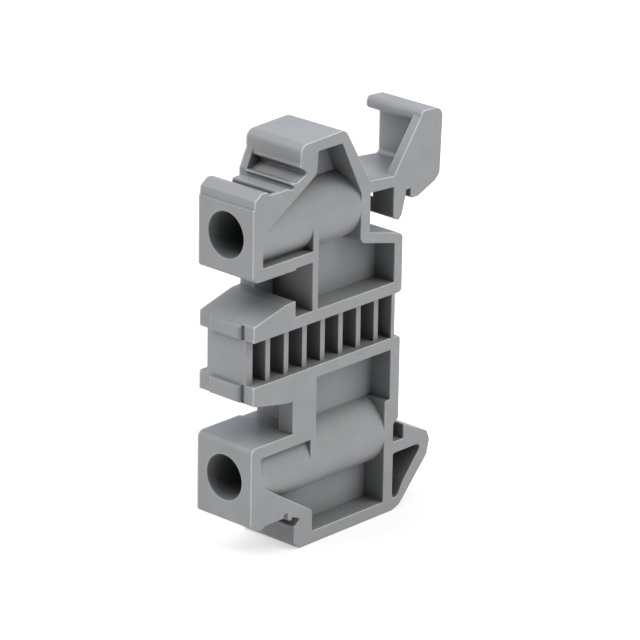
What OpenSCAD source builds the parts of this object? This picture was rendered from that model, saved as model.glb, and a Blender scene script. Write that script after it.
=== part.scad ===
// Spacer for a row of rail-mounted terminal blocks, moulded as one piece.
// x runs from the front face to the rail, y along the rail and z up. The origin is on the rail
// seat, at the rail's centre line and at half the thickness. The profiles are drawn from the
// front face (x = 0) and from the middle of the height (z = 0), then moved to the origin.

/* [Body] */
// Thickness along the rail
body_t = 9.8; // [9:0.1:10.6]
// Height from end to end
body_h = 56; // [54.5:0.5:62]
// Depth from the front face to the rail seat
seat_x = 28.2; // [27.5:0.1:32]
// Thickness of the outer walls
wall = 1.7; // [1.3:0.1:2]
// Thickness of the web between the pockets of the two sides
web_t = 2.6; // [1.2:0.1:4]
// Rounding of the outer corners
corner_r = 0.9; // [0.3:0.1:1.2]

/* [Rail] */
// Width of the rail
rail_w = 35; // [34:0.1:36]
// Thickness of the rail's edge
rail_edge = 1; // [0.8:0.1:1.3]
// Depth of the rail behind its edges
rail_depth = 7.5; // [7:0.1:9]
// Room between each edge of the rail and its slot
rail_room = 0.13; // [0.05:0.01:0.4]
// Distance of the rail's centre line below the middle of the body
rail_drop = 0.53; // [0:0.01:1]

/* [Spring foot] */
// Thickness of the spring arm
arm_t = 1.7; // [1.2:0.1:2.2]
// Height of the arm's root above the rail's upper edge
arm_rise = 2.98; // [2.6:0.01:3.6]
// Fall of the arm from its root to the foot
arm_fall = 1.35; // [0.5:0.05:1.6]
// Height of the release tab above the rail's upper edge
foot_h = 10.15; // [8:0.05:10.8]
// Thickness of the foot's back wall
foot_wall = 1.55; // [1.2:0.05:1.8]
// Overhang of the release tab in front of the back wall
tab_reach = 2.6; // [1.5:0.1:3.2]
// Thickness of the release tab at its front
tab_t = 1.6; // [1.2:0.1:2]
// Thickness of the side plate that stiffens the foot
foot_plate_t = 1.4; // [1:0.1:2.4]
// Lap of the foot's hook over the rail's edge
foot_lap = 1.4; // [1:0.05:1.8]
// Length of the leg below the top of the rail slot
leg_h = 3.9; // [3:0.1:4.2]
// Thickness of the leg at its root
leg_t = 2.3; // [1.8:0.1:2.4]
// Width of the window in the leg
leg_window_w = 2.3; // [1.8:0.1:4]
// Height of the window in the leg
leg_window_h = 2.3; // [1.2:0.1:2.9]

/* [Fixed hook] */
// Width of the slot for the rail's lower edge
hook_slot_w = 2.1; // [1.5:0.1:2.6]
// Depth of that slot in front of the rail seat
hook_slot_back = 0.95; // [0.6:0.05:1.2]
// Lap of the hook over the rail's edge
hook_lap = 2.1; // [1.6:0.1:2.6]
// Reach of the hook behind the rail seat
hook_reach = 6.4; // [5.6:0.1:7]
// Thickness of the hook above its opening
hook_t = 1.6; // [1.2:0.1:2]

/* [Screw bores] */
// Diameter of the bores
bore_d = 6.3; // [5:0.1:6.6]
// Distance of each bore from the middle of the height
bore_z = 16.66; // [16.6:0.01:17.2]

/* [Front blocks] */
// Distance of the upper block's inner edge from the middle of the height
upper_block_z = 11.15; // [10.8:0.05:11.3]
// Distance of the lower block's inner edge from the middle of the height
lower_block_z = 11.5; // [10.8:0.05:11.6]
// Depth of the body wall behind the upper tube
body_wall_x = 21.87; // [21:0.01:23]
// Thickness of the front walls of the blocks
front_wall = 1.75; // [1.3:0.05:2.2]
// Depth of the partition behind the front notches
partition_x = 11.15; // [10:0.05:12]
// Thickness of the partition
partition_t = 0.95; // [0.8:0.05:1.4]
// Depth of the side plate that closes one side of each notch
notch_plate_x = 7.75; // [7:0.05:8.4]
// Thickness of that side plate
notch_plate_t = 2.6; // [1.6:0.1:3]

/* [Marker grooves] */
// Depth of the front face of the upper marker lip
upper_lip_x = 8.65; // [8.2:0.05:9.2]
// Depth of the front face of the lower marker lip
lower_lip_x = 8.3; // [8.2:0.05:9.2]
// Distance of the lips' edges from the ends of the body
lip_drop = 3.3; // [3:0.05:3.5]
// Depth of the undercut behind the upper lip
upper_undercut_x = 9.8; // [9.6:0.01:10.2]
// Depth of the undercut behind the lower lip
lower_undercut_x = 9.35; // [9.2:0.01:9.8]
// Distance of the upper groove's floor from the top of the body
upper_groove_drop = 5.6; // [5.4:0.05:5.7]
// Distance of the lower groove's floor from the bottom of the body
lower_groove_drop = 5.15; // [5.05:0.05:5.3]
// Depth of the gap behind the upper groove's floor
gap_x = 7.42; // [7.3:0.01:7.6]
// Overhang of the ledge above that gap
ledge_reach = 0.28; // [0.1:0.02:0.4]
// Radius of the bead behind the lower groove's floor
bead_r = 0.34; // [0.28:0.02:0.4]
// Depth of that bead's centre line
bead_x = 7.35; // [7.2:0.01:7.5]
// Depth of the channel below the upper groove's floor
channel_d = 1.2; // [0.6:0.1:1.5]
// Width of the channel in the grooves' floors
channel_w = 1.8; // [1:0.1:2.2]
// Thickness of the wall that closes one end of the channel
channel_end_t = 0.6; // [0.4:0.1:1.2]
// Thickness of the wall that closes one end of the undercut
groove_end_t = 1.3; // [0.8:0.05:1.8]

/* [Middle band] */
// Height of the openings in the band
slot_h = 6.14; // [5:0.02:6.6]
// Distance between the ribs of the band
rib_pitch = 3.44; // [3.2:0.01:3.5]
// Thickness of the ribs
rib_t = 0.85; // [0.6:0.05:1.2]
// Set-back of the ribs from the side faces
rib_recess = 0.95; // [0.4:0.05:1.2]
// Number of ribs
rib_count = 7; // [5:1:7]
// Width of the first opening, in front of the first rib
first_gap = 1.9; // [1.4:0.05:2.2]
// Thickness of the band's strips
strip_t = 1.63; // [1.2:0.01:2]
// Height of the ramps above the strips
ramp_rise = 2.2; // [1.4:0.05:2.6]
// Depth of the ramps
ramp_x = 7.9; // [7:0.05:8.4]
// Set-back of the band's front from the front face
band_x = 0.27; // [0.1:0.01:0.4]
// Thickness of the band's front wall
band_wall = 1.2; // [0.8:0.05:1.6]
// Set-back of the front wall's ends from the side faces
band_recess = 1.43; // [1.25:0.01:1.8]
// Height by which the middle lips stand in front of the band
mid_lip = 0.57; // [0.4:0.01:0.8]
// Set-back of the ends of the middle lips from the side faces
mid_lip_recess = 2.15; // [1.8:0.05:3]
// Rounding of the ends of the middle lips
mid_lip_r = 0.45; // [0.2:0.05:0.55]
// Width of the slit beside each middle lip
slit_w = 0.45; // [0.2:0.05:0.5]
// Depth of the slit beside each middle lip
slit_d = 0.15; // [0.1:0.05:0.6]

/* [Hidden] */

// Facets of a round bar, overlap of cuts, and the share of an edge that a rounding may use
round_facets = 64;
over = 0.5;
edge_share = 0.45;

// Roundings, from the finest edges to the noses of the hooks
fine_r = 0.1;
edge_r = 0.2;
soft_r = 0.3;
mid_r = 0.6;
nose_r = 1;
top_r = 1.3;

half_t = body_t / 2;
half_h = body_h / 2;
web_y = web_t / 2;

// The tubes are cut flush with the side faces a little inside their own radius
tube_flush = 0.03;
tube_r = half_t + tube_flush;
tube_x = front_wall / 2;

// Heights of the rail's slots, and depths of the foot and the hook behind the seat
rail_top = rail_w / 2 + rail_room - rail_drop;
rail_bottom = -rail_w / 2 - rail_room - rail_drop;
foot_x = seat_x + rail_depth;
hook_x = seat_x + hook_reach;
hook_slot_x = seat_x - hook_slot_back;
hook_inner_x = hook_slot_x + hook_slot_w;

// Band: edges of its strips and ramps, and the neck that joins the two seat walls
slot_z = slot_h / 2;
strip_z = slot_z + strip_t;
ramp_z = strip_z + ramp_rise;
ramp_foot_z = strip_z + 0.5;
ramp_flat = 1.8;
ramp_slope = 0.1;
slit_top = 0.15;
neck_x = seat_x - 1.15;
neck_t = 0.6;
first_rib_x = band_x + band_wall + first_gap + rib_t / 2;

// Front blocks: top of the front face, ridge, groove, bead, undercut and lip
front_z = half_h - 7;
ridge_z = half_h - 5;
ridge_back = 0.2;
ridge_lean = 0.08;
ridge_shoulder = 0.85;
ridge_x0 = 1.5;
ridge_x1 = 2.45;
ridge_fall = 0.1;
ridge_corner = 0.45;
lower_ridge_x = 1.1;
lower_ridge_rise = 0.3;
upper_groove_z = half_h - upper_groove_drop;
lower_groove_z = half_h - lower_groove_drop;
channel_x = 3;
channel_z = upper_groove_z - channel_d;
channel_r = 0.4;
gap_lean = 0.12;
upper_gap_x = gap_x - 0.92;
upper_gap_d = 0.2;
lower_gap_x = bead_x - bead_r - 0.95;
lower_gap_d = 0.5;
ledge_x = gap_x - ledge_reach;
ledge_z = half_h - 5.02;
ledge_t = 0.3;
ledge_run = 1;
bead_z = half_h - 4.5;
bead_back_z = half_h - 4.88;
undercut_z = half_h - 4.25;
undercut_back = 0.75;
lip_z = half_h - lip_drop;
lip_lean = 0.15;
lip_face = 0.5;
lip_slope = 0.35;
shelf_step = 0.25;

// Diagonal wall between a block's front wall and the wall behind its groove
gusset_x = 11.6;
gusset_z = half_h - 4.83;
gusset_lean = 0.2;
gusset_step = 0.5;

// Wall that slopes from the top down to the spring arm
arm_z = rail_top + arm_rise;
arm_under_z = arm_z - arm_t;
arm_lean = 0.35;
top_back_x = body_wall_x - 4.95;
slope_run = 4.75;
slope_t = 1.55;

// Spring foot: leg, rail slot, back wall, tab and side plate
leg_x = seat_x - 1.75;
leg_tip_z = rail_top - leg_h;
leg_tip_x = 0.9;
leg_taper = 0.75;
leg_shoulder = 0.6;
leg_cut = 0.2;
foot_slot_x = leg_x + leg_t;
foot_hook_x = foot_slot_x + rail_edge;
foot_hook_z = rail_top - foot_lap;
foot_lean = 0.35;
foot_heel_z = rail_top + 0.85;
foot_heel_run = 1.2;
foot_sole_run = 4.5;
foot_inner_x = foot_x - foot_wall;
foot_top = rail_top + foot_h;
tab_x = foot_inner_x - tab_reach;
tab_z = foot_top - tab_t;
tab_root = 1;
tab_slope = 0.3;
plate_inset = 0.4;

// Step below the arm, seat walls and the ledge beside the lower tube
step_z = 12.82;
step_fall = 1.6;
step_t = 1.45;
step_rise = 0.4;
upper_seat_x = seat_x + 0.1;
upper_seat_in = upper_seat_x - 1.45;
lower_seat_in = seat_x - wall;
lower_wall_in = hook_slot_x - wall;
lower_ledge_z = bore_z - tube_r + 0.09;
seat_end = 3.3;
seat_taper = 0.7;

// Fixed hook: nose, slope and the opening inside it
nose_run = 0.55;
nose_drop = 0.15;
nose_z = rail_bottom - 1.5;
nose_under_z = rail_bottom - 3.6;
nose_back = 0.5;
heel_x = seat_x + 0.55;
heel_rise = 0.5;
heel_in_x = seat_x - 0.9;
opening_x = hook_slot_x + 0.05;
opening_nose = 1.25;
opening_z = rail_bottom - hook_t;
opening_bend_x = seat_x + 1.2;
opening_bend_z = rail_bottom - 6.2;
opening_foot_x = seat_x + 0.1;

// Unit vector along v
function unit(v) = v / norm(v);

// Pieces of an arc of radius r
function arc_steps(r) = r < soft_r ? 3 : 6;

// Corner b = [x, z, radius] between its neighbours a and c, as an arc that fits its edges
function corner(a, b, c) =
    b[2] == 0 ? [[b[0], b[1]]] :
    let (
        p = [b[0], b[1]],
        to_a = [a[0], a[1]] - p,
        to_c = [c[0], c[1]] - p,
        half = acos(unit(to_a) * unit(to_c)) / 2,
        reach = min(b[2] / tan(half), edge_share * min(norm(to_a), norm(to_c))),
        r = reach * tan(half),
        middle = p + unit(unit(to_a) + unit(to_c)) * r / sin(half),
        first = p + unit(to_a) * reach - middle,
        last = p + unit(to_c) * reach - middle,
        start = atan2(first[1], first[0]),
        sweep = (atan2(last[1], last[0]) - start + 540) % 360 - 180,
        n = arc_steps(b[2])
    )
    [for (i = [0:n]) let (t = start + sweep * i / n) middle + r * [cos(t), sin(t)]];

// Outline through corners [x, z, radius]
function rounded(v) =
    let (n = len(v))
    [for (i = [0:n - 1]) each corner(v[(i + n - 1) % n], v[i], v[(i + 1) % n])];

// The same corners below the middle of the height, in the order that keeps the outline closed
function below(v) = [for (i = [len(v) - 1:-1:0]) [v[i][0], -v[i][1], v[i][2]]];

// Upper block's front, with its step and ridge
function upper_front() = [
    [0, upper_block_z, corner_r],
    [0, front_z, fine_r],
    [ridge_back, front_z, 0],
    [ridge_back + ridge_lean, ridge_z - ridge_shoulder, soft_r],
    [ridge_x0, ridge_z, soft_r],
    [ridge_x1, ridge_z - ridge_fall, edge_r]
];

// Lower block's front and ridge, drawn above the middle
function lower_front() = [
    [0, lower_block_z, corner_r],
    [0, ridge_z - ridge_corner, corner_r],
    [lower_ridge_x, ridge_z + ridge_fall, soft_r],
    [ridge_x1 - ridge_corner, ridge_z + lower_ridge_rise, soft_r],
    [ridge_x1, ridge_z - ridge_fall, edge_r]
];

// Upper groove's floor, with the gap below its ledge
function upper_groove() = [
    [channel_x, upper_groove_z, edge_r],
    [upper_gap_x, upper_groove_z, fine_r],
    [upper_gap_x + gap_lean, upper_groove_z - upper_gap_d, edge_r],
    [gap_x, upper_groove_z - upper_gap_d, edge_r],
    [gap_x, ledge_z - ledge_t - fine_r, fine_r],
    [ledge_x, ledge_z - ledge_t, fine_r],
    [ledge_x, ledge_z, edge_r],
    [ledge_x + ledge_run, ledge_z - fine_r, edge_r]
];

// Lower groove's floor, with the gap in front of its bead, drawn above the middle
function lower_groove() = [
    [channel_x, lower_groove_z, 0],
    [lower_gap_x, lower_groove_z, fine_r],
    [lower_gap_x + gap_lean, lower_groove_z - lower_gap_d, fine_r],
    [bead_x - bead_r, lower_groove_z - lower_gap_d, 0],
    [bead_x - bead_r, bead_z, bead_r],
    [bead_x + bead_r, bead_z, bead_r],
    [bead_x + bead_r, bead_back_z, 0]
];

// Undercut behind a groove, and its lip up to the end of the body
function lip_edge(lip_x, undercut_x, end_z) = [
    [undercut_x, undercut_z, edge_r],
    [undercut_x - undercut_back, lip_z - edge_r, soft_r],
    [lip_x - lip_lean, lip_z, edge_r],
    [lip_x, lip_z + lip_face, soft_r],
    [lip_x, end_z, top_r]
];

// Strip, ramp and notch between the middle band and a block
function notch_edge(inner_z) = [
    [band_x, slot_z, 0],
    [band_x, ramp_foot_z, edge_r],
    [ramp_x - ramp_flat, ramp_z - ramp_slope, corner_r],
    [ramp_x, ramp_z, fine_r],
    [ramp_x, strip_z, 0],
    [partition_x, strip_z, 0],
    [partition_x, inner_z + shelf_step, 0],
    [ramp_x, inner_z + shelf_step, 0],
    [ramp_x, inner_z, 0]
];

function upper_outline() = concat(
    notch_edge(upper_block_z),
    upper_front(),
    upper_groove(),
    lip_edge(upper_lip_x, upper_undercut_x, half_h - lip_slope),
    [
        [top_back_x, half_h, top_r],
        [top_back_x + slope_run, arm_z, 0],
        [body_wall_x, arm_under_z, 0],
        [body_wall_x, step_z, edge_r],
        [upper_seat_x, step_z - step_fall, corner_r],
        [upper_seat_x, slot_z, mid_r],
        [neck_x, slot_z, 0]
    ]
);

function lower_outline() = concat(
    below(concat(
        lower_front(),
        lower_groove(),
        lip_edge(lower_lip_x, lower_undercut_x, half_h)
    )),
    below(notch_edge(lower_block_z)),
    [
        [neck_x, -slot_z, 0],
        [seat_x, -slot_z, mid_r],
        [seat_x, rail_bottom + seat_end, mid_r],
        [hook_slot_x, rail_bottom + seat_end - seat_taper, soft_r],
        [hook_slot_x, rail_bottom, edge_r],
        [hook_inner_x, rail_bottom, edge_r],
        [hook_inner_x, rail_bottom + hook_lap, edge_r],
        [hook_x - nose_run, rail_bottom - nose_drop, mid_r],
        [hook_x, nose_z, nose_r],
        [hook_x - nose_back, nose_under_z, nose_r],
        [heel_x, heel_rise - half_h, corner_r],
        [heel_in_x, -half_h, mid_r]
    ]
);

// Arm, back wall, release tab, hook and leg of the spring foot
function foot_outline() = [
    [body_wall_x - wall, arm_z, 0],
    [foot_inner_x, arm_z - arm_fall, mid_r],
    [foot_inner_x, tab_z - tab_root, soft_r],
    [tab_x, tab_z, corner_r],
    [tab_x, foot_top, corner_r],
    [foot_x, foot_top - tab_slope, top_r],
    [foot_x - foot_lean, foot_heel_z, nose_r],
    [foot_x - foot_heel_run, rail_top, corner_r],
    [foot_x - foot_sole_run, foot_hook_z, nose_r],
    [foot_hook_x, foot_hook_z, soft_r],
    [foot_hook_x, rail_top, edge_r],
    [foot_slot_x, rail_top, edge_r],
    [foot_slot_x, rail_top - leg_shoulder, 0],
    [foot_slot_x - leg_taper, leg_tip_z + mid_r, soft_r],
    [leg_x + leg_tip_x, leg_tip_z, soft_r],
    [leg_x, leg_tip_z + mid_r, soft_r],
    [leg_x, arm_under_z - arm_lean, edge_r],
    [body_wall_x - wall, arm_under_z, 0]
];

// Side plate between the arm, the back wall and the tab
function foot_plate_outline() = [
    [leg_x - arm_lean, arm_under_z + mid_r, 0],
    [tab_x + plate_inset, foot_top - edge_r, soft_r],
    [foot_x - plate_inset, foot_top - plate_inset, corner_r],
    [foot_x - plate_inset, foot_heel_z, corner_r],
    [leg_x + nose_r, arm_under_z - arm_lean, 0]
];

// Pocket behind a block's front wall, shelf and gusset
function block_pocket(inner_z) = [
    [partition_x + partition_t, inner_z + wall, 0],
    [front_wall, inner_z + wall, soft_r],
    [front_wall, bore_z + gusset_step, 0],
    [gusset_x - gusset_lean, gusset_z, corner_r],
    [gusset_x, gusset_z + gusset_step, soft_r]
];

function upper_pocket() = concat(
    [[partition_x + partition_t, strip_z, 0]],
    block_pocket(upper_block_z),
    [
        [gusset_x + gusset_lean, half_h - wall, edge_r],
        [top_back_x - mid_r, half_h - wall, soft_r],
        [body_wall_x - wall, arm_z - slope_t, mid_r],
        [body_wall_x - wall, step_z - step_t + step_rise, corner_r],
        [upper_seat_in, step_z - step_fall - step_t + step_rise, fine_r],
        [upper_seat_in, strip_z, 0]
    ]
);

function lower_pocket() = concat(
    below(block_pocket(lower_block_z)),
    [
        [partition_x + partition_t, -strip_z, 0],
        [lower_seat_in, -strip_z, 0],
        [lower_seat_in, -lower_ledge_z, edge_r],
        [lower_wall_in, -lower_ledge_z, soft_r],
        [lower_wall_in, wall - half_h, edge_r],
        [gusset_x, wall - half_h, edge_r]
    ]
);

// Opening through the fixed hook
function hook_opening() = [
    [opening_x, opening_z, soft_r],
    [hook_x - opening_nose, opening_z, mid_r],
    [opening_bend_x, opening_bend_z, nose_r],
    [opening_foot_x, wall - half_h, mid_r],
    [opening_x, wall - half_h, mid_r]
];

// Wall across the groove at one side face
function groove_end_outline(lip_x, undercut_x) = [
    [gap_x, channel_z, 0],
    [gap_x, ledge_z - fine_r, edge_r],
    [lip_x + fine_r, lip_z + corner_r, 0],
    [undercut_x + over, lip_z + corner_r, 0],
    [undercut_x + over, channel_z, 0]
];

// Channel in a groove's floor, with a round edge behind it
function channel_outline(floor_z) = [
    [channel_x, channel_z, 0],
    [channel_x + channel_w, channel_z, 0],
    [channel_x + channel_w, floor_z, channel_r],
    [channel_x + channel_w + nose_r, floor_z + fine_r, 0],
    [channel_x + channel_w + nose_r, lip_z, 0],
    [channel_x, lip_z, 0]
];

// Section of the lip in the middle of the band's front
function mid_lip_outline() = [
    [band_x - mid_lip, slot_z + fine_r, edge_r],
    [band_x - mid_lip, ramp_foot_z - edge_r, edge_r],
    [band_x + band_wall, ramp_foot_z + fine_r, 0],
    [band_x + band_wall, slot_z + fine_r, 0]
];

// Outline in x and z, as thick as from y0 to y1
module slab(y0, y1, outline) {
    translate([0, y1, 0])
        rotate([90, 0, 0])
            linear_extrude(y1 - y0)
                polygon(rounded(outline));
}

// Box between two corners
module box(low, high) {
    translate(low)
        cube(high - low);
}

// Round bar along x at height z
module along_x(x0, x1, z, r) {
    translate([x0, 0, z])
        rotate([0, 90, 0])
            cylinder(h = x1 - x0, r = r, $fn = round_facets);
}

// Both sides' cuts of one pocket, down to the web
module pocket_pair(outline) {
    slab(-half_t - over, -web_y, outline);
    slab(web_y, half_t + over, outline);
}

// Frame of full thickness with its pockets
module frame() {
    difference() {
        union() {
            slab(-half_t, half_t, upper_outline());
            slab(-half_t, half_t, lower_outline());
        }
        pocket_pair(upper_pocket());
        pocket_pair(lower_pocket());
        slab(-half_t - over, half_t + over, hook_opening());
    }
}

// Spring arm with its foot, the window in its leg and its side plate
module spring_foot() {
    difference() {
        slab(-half_t, half_t, foot_outline());
        box(
            [leg_x - over, -leg_window_w / 2, rail_top + leg_cut - leg_window_h],
            [foot_slot_x + over, leg_window_w / 2, rail_top + leg_cut]
        );
    }
    slab(-half_t, foot_plate_t - half_t, foot_plate_outline());
}

// Front wall, web, neck and ribs of the middle band
module band() {
    rib_y = half_t - rib_recess;
    wall_y = half_t - band_recess;
    box([band_x, -wall_y, -slot_z], [band_x + band_wall, wall_y, slot_z]);
    box([band_x, -web_y, -slot_z], [neck_x, web_y, slot_z]);
    box([neck_x - neck_t, -half_t, -slot_z], [neck_x, half_t, slot_z]);
    for (i = [0:rib_count - 1])
        translate([first_rib_x + i * rib_pitch, 0, 0])
            box([-rib_t / 2, -rib_y, -slot_z], [rib_t / 2, rib_y, slot_z]);
}

// Lip in the middle of the band's front, with round ends
module middle_lip() {
    lip_y = half_t - mid_lip_recess;
    intersection() {
        slab(-lip_y, lip_y, mid_lip_outline());
        translate([0, 0, slot_z])
            linear_extrude(ramp_foot_z - slot_z + over)
                polygon(rounded([
                    [band_x - mid_lip, -lip_y, mid_lip_r],
                    [band_x - mid_lip, lip_y, mid_lip_r],
                    [band_x + band_wall, lip_y, 0],
                    [band_x + band_wall, -lip_y, 0]
                ]));
    }
}

// Plates that close one side of each notch
module notch_plates() {
    box(
        [notch_plate_x, half_t - notch_plate_t, strip_z],
        [partition_x + partition_t, half_t, upper_block_z + shelf_step]
    );
    box(
        [notch_plate_x, -half_t, -lower_block_z - shelf_step],
        [partition_x + partition_t, notch_plate_t - half_t, -strip_z]
    );
}

// Tube around a bore, cut flush with the side faces
module tube(x1) {
    intersection() {
        along_x(tube_x, x1, bore_z, tube_r);
        box([tube_x, -half_t, bore_z - tube_r - over], [x1, half_t, bore_z + tube_r + over]);
    }
}

// What an upper or lower block adds to the frame: its tube, partition, groove's end and lip
module block_parts(inner_z, tube_end_x, lip_x, undercut_x) {
    tube(tube_end_x);
    box([partition_x, -half_t, inner_z], [partition_x + partition_t, half_t, bore_z]);
    slab(half_t - groove_end_t, half_t, groove_end_outline(lip_x, undercut_x));
    middle_lip();
}

// What is cut from a block: its bore, the channel of its groove, the floor in front of the
// groove's end wall, and the slit beside its lip
module block_cuts(bore_end_x, floor_z) {
    along_x(-over, bore_end_x, bore_z, bore_d / 2);
    slab(channel_end_t - half_t, half_t + over, channel_outline(floor_z));
    box([channel_x, half_t - groove_end_t, channel_z], [gap_x, half_t + over, lip_z]);
    box(
        [band_x - over, mid_lip_recess - slit_w - half_t, slot_z],
        [band_x + slit_d, mid_lip_recess - half_t, ramp_foot_z - slit_top]
    );
}

module spacer_body() {
    color([0.56, 0.565, 0.575])
        translate([-seat_x, 0, rail_drop])
            difference() {
                union() {
                    frame();
                    spring_foot();
                    band();
                    notch_plates();
                    block_parts(upper_block_z, body_wall_x - wall, upper_lip_x, upper_undercut_x);
                    mirror([0, 0, 1])
                        block_parts(lower_block_z, lower_wall_in, lower_lip_x, lower_undercut_x);
                }
                block_cuts(body_wall_x - wall, upper_groove_z);
                mirror([0, 0, 1])
                    block_cuts(lower_wall_in, lower_groove_z);
            }
}

spacer_body();
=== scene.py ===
import math

import bmesh
import bpy
from mathutils import Matrix, Vector

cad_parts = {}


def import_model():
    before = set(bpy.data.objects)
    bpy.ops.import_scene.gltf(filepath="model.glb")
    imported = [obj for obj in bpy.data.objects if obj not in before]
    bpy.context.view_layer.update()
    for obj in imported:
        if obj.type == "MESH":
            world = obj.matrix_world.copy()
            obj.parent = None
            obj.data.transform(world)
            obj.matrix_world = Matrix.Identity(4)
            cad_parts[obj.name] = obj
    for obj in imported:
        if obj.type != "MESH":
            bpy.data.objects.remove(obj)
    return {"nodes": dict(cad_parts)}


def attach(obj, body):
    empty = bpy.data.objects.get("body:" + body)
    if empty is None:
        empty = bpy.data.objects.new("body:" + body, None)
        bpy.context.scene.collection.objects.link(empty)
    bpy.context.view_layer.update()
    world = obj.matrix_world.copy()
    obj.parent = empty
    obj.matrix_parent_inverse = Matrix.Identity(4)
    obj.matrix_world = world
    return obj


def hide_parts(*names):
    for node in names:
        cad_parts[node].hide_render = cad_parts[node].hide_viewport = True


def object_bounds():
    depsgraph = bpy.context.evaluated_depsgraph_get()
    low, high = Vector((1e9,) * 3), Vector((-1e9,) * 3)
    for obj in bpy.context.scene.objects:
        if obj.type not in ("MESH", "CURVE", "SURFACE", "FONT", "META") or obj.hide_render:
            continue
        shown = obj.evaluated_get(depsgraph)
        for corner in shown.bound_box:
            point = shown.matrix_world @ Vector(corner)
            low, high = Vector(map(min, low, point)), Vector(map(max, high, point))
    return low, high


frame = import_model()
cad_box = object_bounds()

MM = 0.001
FLOOR_Z = cad_box[0][2]
BLACK = (0.0, 0.0, 0.0)
WHITE = (1.0, 1.0, 1.0)

# Camera of the photograph: its place, its axes, its lens, and how near and far it sees in metres
EYE_MM = (-401.308, -361.023, 198.254)
RIGHT = (0.68226, -0.73097, 0.01440)
FORWARD = (0.68887, 0.63611, -0.34759)
FOCAL_PX = 4323.0
PICTURE_PX = 640.0
SENSOR_MM = 36.0
CLIP_START = 0.01
CLIP_END = 20.0

# Moulded edges: what counts as an edge, and the rounding that it shows
WELD = 0.001 * MM
CREASE_ANGLE = math.radians(35.0)
EDGE_ROUNDING = 0.15 * MM
BEVEL_SAMPLES = 6

# Painted highlight on round edges: the reach from an edge, the openness inside it from full to
# none, the way that they face (up and to the front, towards the light) from none to full, the
# reach from the two side faces, and the share that is left on edges further in
EDGE_REACH = 0.35 * MM
EDGE_OPENNESS = (0.6, 0.92)
EDGE_FACING = (-0.3, 0.0, 0.95)
FACING_RANGE = (0.01, 0.1)
SIDE_REACH = 0.5 * MM
INNER_EDGE = 0.2

# Lower front strip and its lip: where their lower edge lies on the solid, and how much lower the
# photograph shows it
STRIP_FRONT = -27.7 * MM
STRIP_EDGE_LOW = -4.75 * MM
STRIP_EDGE_HIGH = -4.25 * MM
STRIP_DROP = 0.45 * MM

# Plastic: its grey and the grey of the painted highlight on its edges, its clouds and its grain,
# and its gloss
GREY = (0.308, 0.312, 0.320)
EDGE_HIGHLIGHT_GREY = (0.66, 0.66, 0.66)
GREY_SPREAD = 0.05
CLOUD_SCALE = 220.0
CLOUD_DETAIL = 4.0
CLOUD_RANGE = (0.3, 0.7)
GRAIN_SCALE = 5200.0
GRAIN_DETAIL = 3.0
GRAIN_DEPTH = 0.03 * MM
GRAIN_STRENGTH = 0.25
ROUGHNESS = 0.45
SPECULAR = 0.4

# Painted shade in hollows: how far it is felt, and the painted shade at each openness
PAINTED_SHADE_REACH = 8.0 * MM
PAINTED_HOLLOW_SHADE = ((0.2, 0.38), (0.3, 0.54), (0.6, 0.81), (1.0, 1.0))
OCCLUSION_SAMPLES = 16

# Studio: each lamp's azimuth and elevation in degrees, its width and height in metres, its watts
# and its colour. Azimuth 0 stands towards -Y, and 90 towards -X.
LAMP_DISTANCE = 1.2
WARM = (1.0, 1.0, 0.94)
COOL = (0.95, 0.97, 1.0)
SKY = (0.80, 0.85, 1.0)
LAMPS = {
    "near_low": (0.0, 13.0, 0.8, 0.58, 3.85, COOL),
    "near_right": (-30.0, 35.0, 0.8, 0.8, 4.9, WHITE),
    "near_high": (-30.0, 62.0, 0.8, 0.8, 5.4, WARM),
    "back_right_low": (-120.0, 13.0, 0.8, 0.58, 1.8, SKY),
    "back_right": (-150.0, 35.0, 0.8, 0.8, 2.7, SKY),
    "back_left": (150.0, 35.0, 0.8, 0.8, 5.5, WHITE),
    "left_low": (120.0, 13.0, 0.8, 0.58, 3.3, WHITE),
    "left_high": (120.0, 62.0, 0.8, 0.8, 6.1, COOL),
}

# Floor: its width in metres, small enough to be lit to its edge, its grey and its own glow
FLOOR_SIZE = 1.6
FLOOR_GREY = 0.7
FLOOR_GLOW = 0.5


def add(name, data):
    """A new object in the scene."""
    item = bpy.data.objects.new(name, data)
    bpy.context.scene.collection.objects.link(item)
    return item


def new_material(name):
    mat = bpy.data.materials.new(name)
    mat.use_nodes = True
    mat.node_tree.nodes.clear()
    return mat, mat.node_tree.nodes, mat.node_tree.links


def ramp(nodes, links, value, *stops):
    """A value's colour on a ramp through (place, colour) stops, the lowest place first."""
    node = nodes.new("ShaderNodeValToRGB")
    elements = node.color_ramp.elements
    while len(elements) < len(stops):
        elements.new(1.0)
    for element, (place, colour) in zip(elements, stops):
        element.position = place
        element.color = (*colour, 1.0)
    links.new(value, node.inputs["Fac"])
    return node.outputs["Color"]


def noise(nodes, links, coords, scale, detail):
    node = nodes.new("ShaderNodeTexNoise")
    node.inputs["Scale"].default_value = scale
    node.inputs["Detail"].default_value = detail
    links.new(coords, node.inputs["Vector"])
    return node.outputs["Fac"]


def occlusion(nodes, reach, inside):
    """How open the surface is: outside it for hollows, inside it for outer edges."""
    node = nodes.new("ShaderNodeAmbientOcclusion")
    node.only_local = True
    node.inside = inside
    node.samples = OCCLUSION_SAMPLES
    node.inputs["Distance"].default_value = reach
    return node.outputs["AO"]


def mix(nodes, links, kind, factor, low, high):
    """Two colours mixed. Each of the three is a socket or a constant."""
    node = nodes.new("ShaderNodeMix")
    node.data_type = "RGBA"
    node.blend_type = kind
    for name, value in (("Factor", factor), ("A", low), ("B", high)):
        socket = next(s for s in node.inputs if s.name == name and s.enabled)
        if isinstance(value, bpy.types.NodeSocket):
            links.new(value, socket)
        else:
            socket.default_value = value
    return next(s for s in node.outputs if s.enabled)


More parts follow.
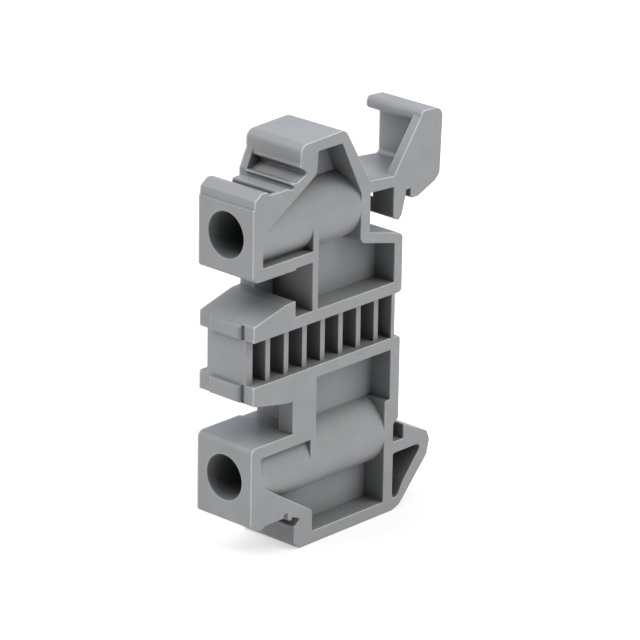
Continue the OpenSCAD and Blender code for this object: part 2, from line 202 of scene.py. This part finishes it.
def painted_edge_highlight(nodes, links, coords, normal, half_thickness):
    """Share of painted highlight on round edges that face up and to the front: most on the edges
    of the two side faces.
    """
    facing = nodes.new("ShaderNodeVectorMath")
    facing.operation = "DOT_PRODUCT"
    facing.inputs[1].default_value = EDGE_FACING
    links.new(normal, facing.inputs[0])
    none, full = FACING_RANGE
    lit = ramp(nodes, links, facing.outputs["Value"], (none, BLACK), (full, WHITE))

    full, none = EDGE_OPENNESS
    rim = ramp(nodes, links, occlusion(nodes, EDGE_REACH, True), (full, WHITE), (none, BLACK))

    place = nodes.new("ShaderNodeSeparateXYZ")
    links.new(coords, place.inputs["Vector"])
    across = nodes.new("ShaderNodeMath")
    across.operation = "ABSOLUTE"
    links.new(place.outputs["Y"], across.inputs[0])
    side = nodes.new("ShaderNodeMapRange")
    side.inputs["From Min"].default_value = half_thickness - SIDE_REACH
    side.inputs["From Max"].default_value = half_thickness - EDGE_ROUNDING
    side.inputs["To Min"].default_value = INNER_EDGE
    links.new(across.outputs["Value"], side.inputs["Value"])

    rim_lit = mix(nodes, links, "MULTIPLY", 1.0, rim, lit)
    return mix(nodes, links, "MULTIPLY", 1.0, rim_lit, side.outputs["Result"])


def plastic(name, half_thickness):
    """Grey moulded plastic: cloudy tint, fine grain, a painted highlight on round edges and
    painted shade in hollows.
    """
    mat, nodes, links = new_material(name)
    out = nodes.new("ShaderNodeOutputMaterial")
    bsdf = nodes.new("ShaderNodeBsdfPrincipled")
    links.new(bsdf.outputs["BSDF"], out.inputs["Surface"])
    coords = nodes.new("ShaderNodeTexCoord").outputs["Object"]
    edge = nodes.new("ShaderNodeBevel")
    edge.samples = BEVEL_SAMPLES
    edge.inputs["Radius"].default_value = EDGE_ROUNDING
    normal = edge.outputs["Normal"]

    cloud = noise(nodes, links, coords, CLOUD_SCALE, CLOUD_DETAIL)
    dark = [c * (1.0 - GREY_SPREAD) for c in GREY]
    light = [c * (1.0 + GREY_SPREAD) for c in GREY]
    low, high = CLOUD_RANGE
    tint = ramp(nodes, links, cloud, (low, dark), (high, light))
    # Painted highlight: round edges that face up and to the front are mixed towards a light grey
    highlight_share = painted_edge_highlight(nodes, links, coords, normal, half_thickness)
    highlighted = mix(nodes, links, "MIX", highlight_share, tint, (*EDGE_HIGHLIGHT_GREY, 1.0))
    # Painted shade: the colour is darkened in hollows and corners, by how open the surface is
    painted_shade_stops = [(openness, [level] * 3) for openness, level in PAINTED_HOLLOW_SHADE]
    shade = ramp(nodes, links, occlusion(nodes, PAINTED_SHADE_REACH, False), *painted_shade_stops)
    shaded = mix(nodes, links, "MULTIPLY", 1.0, highlighted, shade)
    links.new(shaded, bsdf.inputs["Base Color"])

    grain = noise(nodes, links, coords, GRAIN_SCALE, GRAIN_DETAIL)
    bump = nodes.new("ShaderNodeBump")
    bump.inputs["Strength"].default_value = GRAIN_STRENGTH
    bump.inputs["Distance"].default_value = GRAIN_DEPTH
    links.new(grain, bump.inputs["Height"])
    links.new(normal, bump.inputs["Normal"])
    links.new(bump.outputs["Normal"], bsdf.inputs["Normal"])
    bsdf.inputs["Roughness"].default_value = ROUGHNESS
    bsdf.inputs["Specular IOR Level"].default_value = SPECULAR
    return mat


def moulded_body(node):
    """A copy of the body's solid with smooth round faces, crisp edges and a lower front strip."""
    bm = bmesh.new()
    bm.from_mesh(node.data)
    bmesh.ops.remove_doubles(bm, verts=bm.verts, dist=WELD)
    half_thickness = max(abs(v.co.y) for v in bm.verts)
    for vert in bm.verts:
        if vert.co.x < STRIP_FRONT and STRIP_EDGE_LOW < vert.co.z < STRIP_EDGE_HIGH:
            vert.co.z -= STRIP_DROP
    for face in bm.faces:
        face.smooth = True
    for edge in bm.edges:
        edge.smooth = edge.calc_face_angle() < CREASE_ANGLE
    mesh = bpy.data.meshes.new("moulded_body")
    bm.to_mesh(mesh)
    bm.free()
    mesh.materials.append(plastic("grey_plastic", half_thickness))
    piece = add("moulded_body", mesh)
    normals = piece.modifiers.new("flat_faces", "WEIGHTED_NORMAL")
    normals.keep_sharp = True
    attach(piece, "root")
    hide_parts("spacer_body")


def floor():
    """Pale floor that shows as white and keeps the object's shadow."""
    bpy.ops.mesh.primitive_plane_add(size=FLOOR_SIZE, location=(0.0, 0.0, FLOOR_Z))
    plane = bpy.context.object
    plane.name = "floor"
    mat, nodes, links = new_material("floor_white")
    out = nodes.new("ShaderNodeOutputMaterial")
    both = nodes.new("ShaderNodeAddShader")
    links.new(both.outputs["Shader"], out.inputs["Surface"])
    bsdf = nodes.new("ShaderNodeBsdfDiffuse")
    bsdf.inputs["Color"].default_value = (FLOOR_GREY, FLOOR_GREY, FLOOR_GREY, 1.0)
    links.new(bsdf.outputs["BSDF"], both.inputs[0])
    glow = nodes.new("ShaderNodeEmission")
    links.new(glow.outputs["Emission"], both.inputs[1])
    path = nodes.new("ShaderNodeLightPath")
    seen = path.outputs["Is Camera Ray"]
    for ray in ("Is Glossy Ray", "Is Transmission Ray"):
        either = nodes.new("ShaderNodeMath")
        either.operation = "MAXIMUM"
        links.new(seen, either.inputs[0])
        links.new(path.outputs[ray], either.inputs[1])
        seen = either.outputs["Value"]
    strength = nodes.new("ShaderNodeMath")
    strength.operation = "MULTIPLY"
    strength.inputs[1].default_value = FLOOR_GLOW
    links.new(seen, strength.inputs[0])
    links.new(strength.outputs["Value"], glow.inputs["Strength"])
    plane.data.materials.append(mat)


def lamp(name, azimuth, elevation, width, height, watts, colour):
    """Soft lamp that faces the object."""
    data = bpy.data.lights.new(name, "AREA")
    data.shape = "RECTANGLE"
    data.size = width
    data.size_y = height
    data.energy = watts
    data.color = colour
    side, rise = math.radians(azimuth), math.radians(elevation)
    place = LAMP_DISTANCE * Vector((
        -math.sin(side) * math.cos(rise),
        -math.cos(side) * math.cos(rise),
        math.sin(rise),
    ))
    light = add(name, data)
    light.location = place
    light.rotation_euler = (-place).to_track_quat("-Z", "Y").to_euler()


def camera():
    """Camera where the photograph was taken from."""
    data = bpy.data.cameras.new("photo_camera")
    data.sensor_width = SENSOR_MM
    data.lens = FOCAL_PX / PICTURE_PX * SENSOR_MM
    data.clip_start = CLIP_START
    data.clip_end = CLIP_END
    cam = add("photo_camera", data)
    right = Vector(RIGHT).normalized()
    back = -Vector(FORWARD).normalized()
    up = back.cross(right).normalized()
    right = up.cross(back).normalized()
    eye = Vector(EYE_MM) * MM
    cam.matrix_world = Matrix((
        (right.x, up.x, back.x, eye.x),
        (right.y, up.y, back.y, eye.y),
        (right.z, up.z, back.z, eye.z),
        (0.0, 0.0, 0.0, 1.0),
    ))
    bpy.context.scene.camera = cam


def world():
    """Dark world that shows as white where the camera looks past the floor."""
    studio = bpy.data.worlds.new("studio")
    bpy.context.scene.world = studio
    studio.use_nodes = True
    nodes, links = studio.node_tree.nodes, studio.node_tree.links
    nodes.clear()
    out = nodes.new("ShaderNodeOutputWorld")
    back = nodes.new("ShaderNodeBackground")
    back.inputs["Color"].default_value = (*WHITE, 1.0)
    links.new(back.outputs["Background"], out.inputs["Surface"])
    path = nodes.new("ShaderNodeLightPath")
    links.new(path.outputs["Is Camera Ray"], back.inputs["Strength"])


bpy.context.scene.view_settings.view_transform = "Standard"
moulded_body(frame["nodes"]["spacer_body"])
floor()
camera()
world()
for lamp_name, settings in LAMPS.items():
    lamp(lamp_name, *settings)
